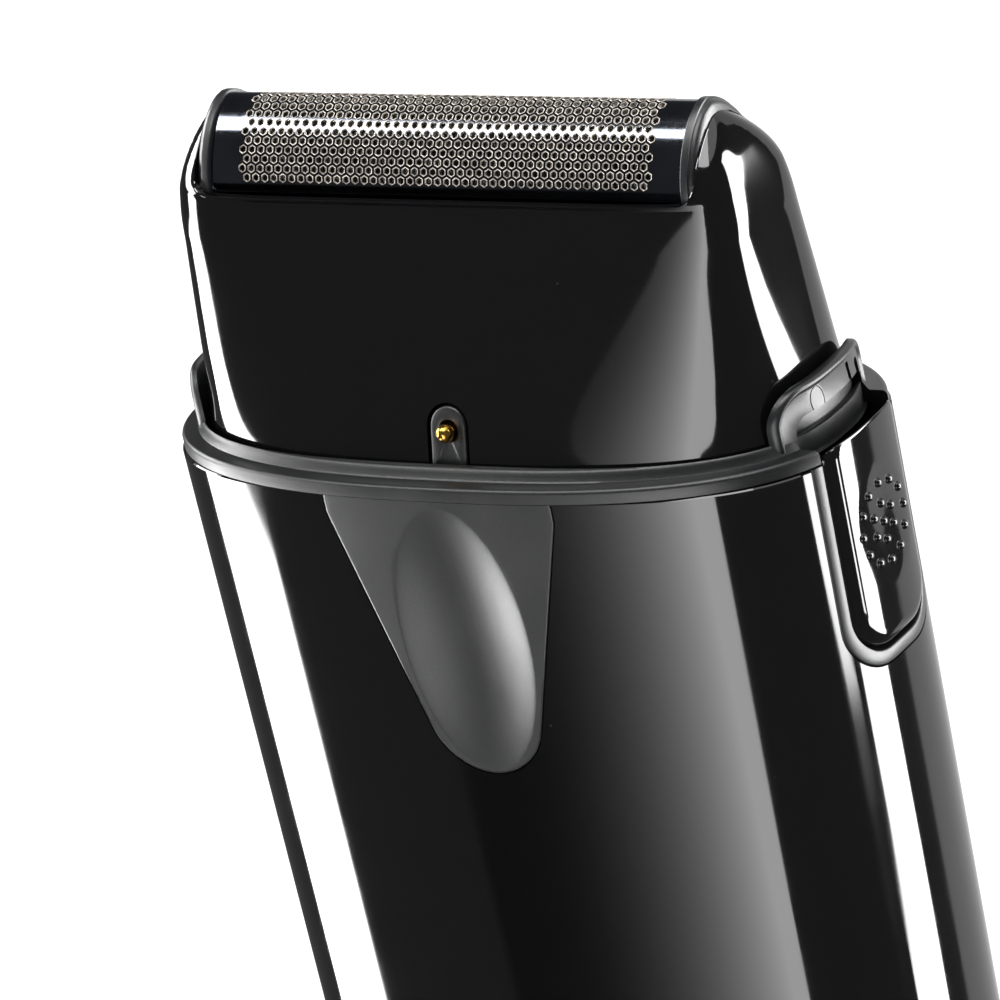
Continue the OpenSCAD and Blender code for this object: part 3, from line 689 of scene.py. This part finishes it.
def makeTab():
    t, count = tab, 64
    boreZ = lipZ + t["boreZ"]

    def outline(inset):
        half = t["half"] - inset
        return pillPath(half, lipZ - 1.0 + inset, lipZ + t["top"] - inset, 0.3, half - 0.05, count)

    def bore(grow):
        angles = [atan2(v - boreZ, u) for u, v in outline(0)]
        return [((t["boreR"] + grow) * cos(w), boreZ + (t["boreR"] + grow) * sin(w)) for w in angles]

    rings = [frontRing(outline(0), headSize, t["thick"]), frontRing(outline(0), headSize, 0.15),
             frontRing(outline(0.05), headSize, 0.04), frontRing(outline(0.16), headSize, 0.0),
             frontRing(bore(0.14), headSize, 0.0), frontRing(bore(0.04), headSize, 0.05),
             frontRing(bore(0), headSize, 0.15), frontRing(bore(0), headSize, t["thick"])]
    return ringGrid(rings, closed=True)


finishPiece(makeLip(), "collarLip", "case", satin, ["collar"], sharp=30)
finishPiece(makeSpigot(), "collarSpigot", "case", satin, ["collar"])
finishPiece(makeTongue(), "thumbTongue", "case", satin, ["collar"], sharp=50)
finishPiece(makeSliderFrame(), "sliderSurround", "case", satin, ["collar"], sharp=50)
finishPiece(makeEar(0.75, [markCutter()]), "earRight", "case", satin, ["collar"], sharp=50)
leftEar = makeEar(0.08, [])
bmesh.ops.scale(leftEar, vec=(-1, 1, 1), verts=leftEar.verts)
bmesh.ops.recalc_face_normals(leftEar, faces=leftEar.faces)
finishPiece(leftEar, "earLeft", "case", satin, ["collar"], sharp=50)
finishPiece(makeTab(), "pinTab", "case", satin, ["collar"], sharp=50)
print("collar made")

# Side slider
slider = {"half": 5.45, "low": lipZ - 18.5, "footR": 3.8, "topR": 1.25, "proud": 0.4, "back": 1.75,
          "round": 1.3, "top": lipZ, "topSlope": 0.85, "padZ": lipZ - 8.6, "padHalf": (4.1, 4.9),
          "padDepth": 0.18, "dotRings": ((1, 0.0), (6, 1.55), (12, 3.3)), "dotR": 0.4, "dotRise": 0.3}


def padDepth(u, v):
    a, b = slider["padHalf"]
    away = (u / a) ** 2 + ((v - slider["padZ"]) / b) ** 2
    return slider["padDepth"] * (1 - away) ** 1.3 if away < 1 else 0.0


def makeSlider():
    s, count, r = slider, 128, slider["round"]

    def outline(inset):
        return pillPath(s["half"] - inset, s["low"] + inset, s["top"] - inset * 0.12,
                        s["footR"] - inset * 0.9, s["topR"] - inset * 0.5, count)

    def ring(path, out):
        drop = s["topSlope"] * (s["proud"] - out)
        return [(sideX(caseSize(v), u) + out - padDepth(u, v), u, min(v, s["top"] - drop)) for u, v in path]

    low, high = s["padZ"] - 6, s["padZ"] + 6
    back = outline(0)
    rings = [ring(towardsLine(back, 1, low, high), -s["back"]), ring(outline(0.1), -s["back"]),
             ring(outline(0), -s["back"] + 0.1)]
    for t in range(0, 91, 10):
        out = s["proud"] - r * (1 - sin(radians(t)))
        rings.append(ring(outline(r * (1 - cos(radians(t)))), out))
    face = outline(r)
    rings += [ring(towardsLine(face, k / 14, low, high), s["proud"]) for k in range(1, 15)]
    return ringGrid(rings)


def makeDots():
    s, parts = slider, []
    for count, radius in s["dotRings"]:
        for k in range(count):
            turn = 2 * pi * k / count + (pi / 6 if count == 6 else 0)
            u, v = radius * cos(turn), s["padZ"] + radius * sin(turn)
            dome = bmesh.new()
            bmesh.ops.create_uvsphere(dome, u_segments=16, v_segments=10, radius=s["dotR"])
            bmesh.ops.scale(dome, vec=(s["dotRise"] / s["dotR"], 1, 1), verts=dome.verts)
            x = sideX(caseSize(v), u) + s["proud"] - padDepth(u, v)
            bmesh.ops.translate(dome, vec=(x, u, v), verts=dome.verts)
            parts.append(dome)
    return joined(parts)


finishPiece(makeSlider(), "sideSlider", "switch", gloss, ["switch_slider"], sharp=50)
finishPiece(makeDots(), "gripDots", "switch", gloss, ["switch_slider"])
print("slider made")

# Head shell
head = {"skirt": 1.2, "wall": 1.3, "innerTop": 24.6, "saddleHalf": 23.4, "saddleR": 1.5, "beadR": 0.1}


def makeHeadShell():
    heights = [-1.1] + [0.85 * k for k in range(21)] + [17 + 0.34 * k for k in range(1, 25)]
    heights += [25.4, 25.6, 25.8, 25.93, 26.0, 26.05]
    inner = [h for h in heights if h < head["innerTop"]] + [head["innerTop"]]
    wall = head["wall"]
    rings = [[(x, 0, z) for x, y, z in ovalRing(lipZ + inner[-1], *headSize(lipZ + inner[-1], wall))]]
    rings += [ovalRing(lipZ + h, *headSize(lipZ + h, wall)) for h in reversed(inner)]
    rings += [ovalRing(lipZ - head["skirt"], *headSize(lipZ, inset)) for inset in (wall, 0.1)]
    rings += [ovalRing(lipZ + h, *headSize(lipZ + h)) for h in heights]
    top = lipZ + heights[-1]
    rings.append([(x, 0, top + 0.1) for x, y, z in ovalRing(top, *headSize(top))])
    saddle = pillPath(head["saddleHalf"], lipZ + headShape["saddle"], lipZ + 34, head["saddleR"], 1, 96)
    half = tab["half"] + tab["gap"]
    slot = pillPath(half, lipZ - 4, lipZ + tab["top"] + tab["gap"], 0.5, half - 0.05, 64)
    return carve(ringGrid(rings), [prism(saddle, lambda u, v, w: (u, -15 + 30 * w, v)),
                                   prism(slot, lambda u, v, w: (u, -15 + 13 * w, v))])


# Rounded edge of the saddle: a fine bead that follows the cut over the front and the back
def makeSaddleBead():
    low, half, r = lipZ + headShape["saddle"], head["saddleHalf"], head["saddleR"]
    path = [(half, lipZ + 25.2 - 0.25 * k) for k in range(14)] + arcPoints(half - r, low + r, r, 0, -90, 10)
    path += [(half - r - (half - r) * k / 40, low) for k in range(1, 40)] + [(0, low)]
    path += [(-u, v) for u, v in reversed(path[:-1])]
    beads = []
    for side in (-1, 1):
        line = [Vector((u, -side * frontY(headSize(v), u), v)) for u, v in path]
        turns = [2 * pi * j / 10 for j in range(10)]
        rings = [[tuple(line[0])] * 10]
        for k, p in enumerate(line):
            ahead = (line[min(k + 1, len(line) - 1)] - line[max(k - 1, 0)]).normalized()
            across = ahead.cross(Vector((0, side, 0.01))).normalized()
            lift = ahead.cross(across)
            rings.append([tuple(p + head["beadR"] * (across * cos(t) + lift * sin(t))) for t in turns])
        rings.append([tuple(line[-1])] * 10)
        beads.append(ringGrid(rings))
    return joined(beads)


finishPiece(makeHeadShell(), "headShell", "head", gloss, ["head_shell"],
            surfaceNormal(headSize))
finishPiece(makeSaddleBead(), "saddleBead", "head", gloss, ["head_shell"])
print("head shell made")

# Foil and cheeks
foil = {"half": 21.95, "archHalf": 5.1, "rise": 6.8, "footZ": lipZ + 20.0, "leg": 3.4, "thick": 0.12,
        "pitch": 0.863, "firstRow": 1.63, "holeX": 18.99, "web": 0.385, "crest": 0.355, "hole": 0.315,
        "crestRise": 0.03, "reach": 27}


def archTable(half, rise, steps=900):
    n = headShape["arch"]
    points = [(-half * copysign(abs(cos(pi * i / steps)) ** (2 / n), cos(pi * i / steps)),
               rise * max(sin(pi * i / steps), 0) ** (2 / n)) for i in range(steps + 1)]
    return points, runLengths(points)


archPoints, archRun = archTable(foil["archHalf"], foil["rise"])


# Place and outward direction at a length s along the foil's arch, with straight legs past both ends
def archAt(s):
    if s <= 0:
        return (-foil["archHalf"], s), (-1, 0)
    if s >= archRun[-1]:
        return (foil["archHalf"], archRun[-1] - s), (1, 0)
    low, high = 0, len(archRun) - 1
    while high - low > 1:
        mid = (low + high) // 2
        low, high = (mid, high) if archRun[mid] <= s else (low, mid)
    t = (s - archRun[low]) / (archRun[high] - archRun[low])
    p, q = archPoints[low], archPoints[high]
    before, after = archPoints[max(low - 6, 0)], archPoints[min(high + 6, len(archPoints) - 1)]
    dy, dz = after[0] - before[0], after[1] - before[1]
    size = hypot(dy, dz)
    return partWay(p, q, t), (-dz / size, dy / size)


# One six-sided cell of the foil, flat, with or without its hole and raised edge
def foilCell(pierced):
    bm = bmesh.new()
    bmesh.ops.create_circle(bm, segments=6, radius=foil["pitch"] / sqrt(3), cap_ends=True)
    if pierced:
        high = foil["crestRise"]
        for radius, rise in ((foil["web"], 0), (foil["crest"], high), (foil["hole"], 0.6 * high)):
            face = max(bm.faces, key=lambda f: -f.calc_center_median().length - 0.01 * f.calc_area())
            bmesh.ops.inset_region(bm, faces=[face], thickness=0.01, use_boundary=True, use_even_offset=True)
            for vert in face.verts:
                vert.co = vert.co.xy.normalized().to_3d() * radius
                vert.co.z = rise
            # Crest rings take the second slot, the light nickel that paints a highlight ring round each hole
            for ring in bm.faces:
                if ring != face and max(v.co.xy.length for v in ring.verts) < foil["web"] + 0.001:
                    ring.material_index = 1
        bmesh.ops.delete(bm, geom=[face], context="FACES")
    else:
        bmesh.ops.poke(bm, faces=bm.faces[:])
    mesh = bpy.data.meshes.new("cell")
    bm.to_mesh(mesh)
    bm.free()
    return mesh


def makeFoil():
    f, rowStep = foil, foil["pitch"] * sqrt(3) / 2
    plain, pierced = foilCell(False), foilCell(True)
    lastRow = int((archRun[-1] - 2 * f["firstRow"]) / rowStep + 0.3)
    margin = ceil((f["firstRow"] + f["leg"]) / rowStep) + 1
    bm = bmesh.new()
    for row in range(-margin, lastRow + margin + 1):
        shift = 0.5 if row % 2 == 0 else 0.0
        for column in range(-f["reach"], f["reach"] + 1):
            u = (column + shift) * f["pitch"]
            holed = 0 <= row <= lastRow and abs(u) < f["holeX"]
            first = len(bm.verts)
            bm.from_mesh(pierced if holed else plain)
            bm.verts.ensure_lookup_table()
            bmesh.ops.translate(bm, verts=bm.verts[first:], vec=(u, f["firstRow"] + row * rowStep, 0))
    bmesh.ops.remove_doubles(bm, verts=bm.verts, dist=0.01)
    for place, facing in (((f["half"], 0, 0), (1, 0, 0)), ((-f["half"], 0, 0), (-1, 0, 0)),
                          ((0, -f["leg"], 0), (0, -1, 0)), ((0, archRun[-1] + f["leg"], 0), (0, 1, 0))):
        bmesh.ops.bisect_plane(bm, geom=bm.verts[:] + bm.edges[:] + bm.faces[:], dist=0.0001,
                               plane_co=place, plane_no=facing, clear_outer=True)
    for vert in bm.verts:
        (y, z), (ny, nz) = archAt(vert.co.y)
        vert.co = (vert.co.x, y + ny * vert.co.z, f["footZ"] + z + nz * vert.co.z)
    bmesh.ops.recalc_face_normals(bm, faces=bm.faces)
    bmesh.ops.solidify(bm, geom=bm.faces[:], thickness=f["thick"])
    return bm


# Each step of a cheek is a distance from the middle of the head and a share of its full outline.
cheek = {"archHalf": 5.4, "rise": 6.6, "footZ": lipZ + 20.45, "neck": 4.6, "neckStep": 0.4, "deep": 5,
         "middleZ": lipZ + 20.45 + 1.5,
         "steps": [(22.02, 0.0), (22.02, 0.94), (22.04, 0.985), (22.12, 1.0), (22.62, 1.0), (22.7, 0.995),
                   (22.74, 0.97), (22.8, 0.962), (22.95, 0.955), (23.1, 0.94), (23.22, 0.91), (23.3, 0.86),
                   (23.3, 0.0)]}


def makeCheek(side):
    c, foot = cheek, cheek["footZ"]
    arch = archTable(c["archHalf"], c["rise"], 80)[0]
    outline = [(c["neck"], foot - c["deep"]), (c["neck"], foot - c["neckStep"])]
    outline += [(y, foot + z) for y, z in reversed(arch)]
    outline += [(-c["neck"], foot - c["neckStep"]), (-c["neck"], foot - c["deep"])]
    path, middleZ = evenPath(outline, 160), c["middleZ"]
    return ringGrid([[(side * x, u * share, middleZ + (v - middleZ) * share) for u, v in path]
                     for x, share in c["steps"]])


foilSheet = finishPiece(makeFoil(), "foilSheet", "head", foilMetal, ["foil"], sharp=24)
# Second slot: the light crest nickel, a painted highlight round each hole
foilSheet.data.materials.append(nickel)
finishPiece(makeCheek(1), "cheekRight", "head", cheekSatin, ["cheek_right"], sharp=40)
finishPiece(makeCheek(-1), "cheekLeft", "head", cheekSatin, ["cheek_left"], sharp=40)
print("foil and cheeks made")

# Catch pin
pin = {"ballR": 0.75, "ballY": -11.72, "stemR": 0.5, "stemEnd": -8.2, "flangeR": 1.05, "flangeY": -9.5,
       "flangeThick": 0.5}


def makePin():
    p, r = pin, pin["ballR"]
    profile = [(0, r - 0.1), (0.16, r - 0.1), (0.22, r - 0.03), (0.28, r * 0.93)]
    profile += [(r * sin(radians(t)), r * cos(radians(t))) for t in range(26, 139, 7)]
    stem, flange = p["ballY"] - p["stemEnd"], p["ballY"] - p["flangeY"]
    profile += [(p["stemR"], -0.6), (p["stemR"], flange), (p["flangeR"], flange),
                (p["flangeR"], flange - p["flangeThick"]), (p["stemR"], flange - p["flangeThick"]),
                (p["stemR"], stem), (0, stem)]
    bm = turned(profile, 40)
    bmesh.ops.rotate(bm, verts=bm.verts, cent=(0, 0, 0), matrix=Matrix.Rotation(radians(90), 3, "X"))
    bmesh.ops.translate(bm, verts=bm.verts, vec=(0, p["ballY"], lipZ + tab["boreZ"]))
    return bm


finishPiece(makePin(), "catchPin", "catch", brass, ["catch_pin"], sharp=40)
print("pin made")

# Parts inside, carried over and given their materials
slotOf = {part["node"]: part["material_slot"] for part in frame["record"]["subparts"]}
for nodeName, node in frame["nodes"].items():
    if nodeName in slotOf and slotOf[nodeName] in looks:
        for place in node.material_slots:
            place.material = looks[slotOf[nodeName]]
print("inner parts finished")

# Floor and light
studio = {
    "sky": 0.9, "mirrored": 0.1, "middle": (0, 0, 0.08), "reach": 5.0, "fadeFrom": -0.55, "fadeTo": 0.09,
    "boxes": {
        "leftBox": {"at": (-1.1, -0.75, 0.35), "size": (0.16, 1.6), "watts": 18, "hex": "#ffffff"},
        "rightBox": {"at": (1.5, 0.1, 0.45), "size": (0.25, 1.6), "watts": 14, "hex": "#ffffff"},
        "topBox": {"at": (0.0, 0.5, 1.5), "size": (1.0, 0.25), "watts": 12, "hex": "#ffffff"},
    },
    # Light banks that only the shiny parts see, each row an elevation with its left and right azimuth
    "banks": {
        "leftBank": {"glow": 22.0, "fade": 0, "rows": [
            (-34, -91, -62), (-23, -90, -62), (-20, -92, -79), (-16, -94, -77), (-11.5, -84, -71),
            (-6.5, -72, -63), (-1.5, -68, -58), (5, -80, -62), (12, -95, -72), (22, -105, -82),
            (30, -110, -88)]},
        "rightBank": {"glow": 22.0, "fade": 0, "rows": [
            (-34, 94, 134), (-28.2, 97, 134), (-27, 103, 135), (-24, 104, 134), (-20, 110, 139),
            (-14, 115, 141), (2, 117, 141), (15, 112, 131), (37, 97, 106)]},
        "edgeBank": {"glow": 22.0, "fade": 0, "rows": [
            (-25.9, 84, 97), (-25.2, 80.5, 91), (-24, 79, 88), (-22, 78, 88)]},
        "rearCard": {"glow": 1.0, "fade": 0, "rows": [
            (-40, 147, 215), (0, 148, 215), (40, 146, 215), (60, 120, 215)]},
        "topCard": {"glow": 2.0, "fade": 0, "rows": [(60, 40, 180), (75, 40, 180), (89, 40, 180)]},
        "frontTopBank": {"glow": 9.0, "fade": 0, "rows": [(58, -70, 38), (70, -80, 38), (89, -90, 38)]},
        "foilBank": {"glow": 16.0, "fade": 0, "rows": [
            (43.8, -58, -51), (45.5, -60, -50), (47, -66, -48), (50, -74, -50), (52.3, -80, -54)]},
        "frontPanel": {"glow": 6.8, "fade": 1.9, "rows": [
            (-40, -38, 10), (-27, -38, 12), (-24, -38, 14.5), (-16, -38, 18), (-10, -38, 21),
            (-6.9, -38, 18), (-3.8, -38, 12), (0, -38, 9), (1.3, -38, 8), (2, -38, 7), (4, -8, 6),
            (7, 1, 5)]},
    },
}


def makeFloor():
    bm = bmesh.new()
    bmesh.ops.create_grid(bm, x_segments=2, y_segments=2, size=8)
    floor = looseObject(bm, "floor")
    # Board rolled with matt white paint: an even pale ground with barely seen clouds
    material, tree, shader, place = startMaterial("paintedBoard", Roughness=0.9)
    cloud = addNode(tree, "ShaderNodeTexNoise", {"Vector": place, "Scale": perMm(400), "Detail": 2.0})
    drive(tree, shader, Base_Color=colourRamp(tree, cloud.outputs["Fac"], 0.3, "#f6f6f6", 0.7, "#fafafa"))
    floor.data.materials.append(material)
    floor.visible_glossy = False
    floor.visible_shadow = False


def makeSky():
    world = bpy.data.worlds.new("studio")
    bpy.context.scene.world = world
    world.use_nodes = True
    tree = world.node_tree
    bright = tree.nodes["Background"]
    bright.inputs["Color"].default_value = srgb("#ffffff")
    bright.inputs["Strength"].default_value = studio["sky"]
    dim = addNode(tree, "ShaderNodeBackground", {"Color": srgb("#ffffff"), "Strength": studio["mirrored"]})
    path = addNode(tree, "ShaderNodeLightPath")
    mix = addNode(tree, "ShaderNodeMixShader",
                  {0: path.outputs["Is Glossy Ray"], 1: bright.outputs[0], 2: dim.outputs[0]})
    tree.links.new(mix.outputs[0], tree.nodes["World Output"].inputs["Surface"])
    world.cycles.sampling_method = "NONE"


def makeBox(name, box):
    data = bpy.data.lights.new(name, "AREA")
    data.shape, data.size, data.size_y = "RECTANGLE", box["size"][0], box["size"][1]
    data.energy, data.color = box["watts"], srgb(box["hex"])[:3]
    lamp = bpy.data.objects.new(name, data)
    bpy.context.collection.objects.link(lamp)
    lamp.location = box["at"]
    lamp.visible_glossy = False
    towards = Vector(studio["middle"]) - Vector(box["at"])
    lamp.rotation_euler = towards.to_track_quat("-Z", "Y").to_euler()


def makeBank(name, bank):
    rows, wide = bank["rows"], 32
    bm = bmesh.new()
    bmesh.ops.create_grid(bm, x_segments=wide, y_segments=len(rows) - 1, size=1)
    for vert in bm.verts:
        el, left, right = rows[round((vert.co.y + 1) / 2 * (len(rows) - 1))]
        az = radians(left + (right - left) * (vert.co.x + 1) / 2)
        aim = Vector((sin(az) * cos(radians(el)), -cos(az) * cos(radians(el)), sin(radians(el))))
        vert.co = Vector(studio["middle"]) + aim * studio["reach"]
    card = looseObject(bm, name)
    # Lit silk of a light bank: even white, or fading to black at its left side
    material, tree, shader, place = startMaterial(
        "litSilk" + name, Base_Color=srgb("#000000"), Roughness=1.0, Emission_Color=srgb("#ffffff"),
        Emission_Strength=bank["glow"])
    shader.inputs["Specular IOR Level"].default_value = 0
    if bank["fade"]:
        side = addNode(tree, "ShaderNodeSeparateXYZ", {"Vector": place}).outputs["X"]
        low, high = studio["fadeFrom"] * studio["reach"], studio["fadeTo"] * studio["reach"]
        share = addNode(tree, "ShaderNodeMapRange", {"Value": side, "From Min": low, "From Max": high})
        curve = addNode(tree, "ShaderNodeMath", {0: share.outputs["Result"], 1: bank["fade"]},
                        operation="POWER")
        level = addNode(tree, "ShaderNodeMath", {0: curve.outputs[0], 1: bank["glow"]},
                        operation="MULTIPLY")
        drive(tree, shader, Emission_Strength=level.outputs[0])
    card.data.materials.append(material)
    card.visible_camera = card.visible_diffuse = card.visible_shadow = card.visible_transmission = False


makeFloor()
makeSky()
for bankName, bank in studio["banks"].items():
    makeBank(bankName, bank)
for boxName, box in studio["boxes"].items():
    makeBox(boxName, box)
bpy.context.scene.view_settings.view_transform = "Standard"
print("light set")
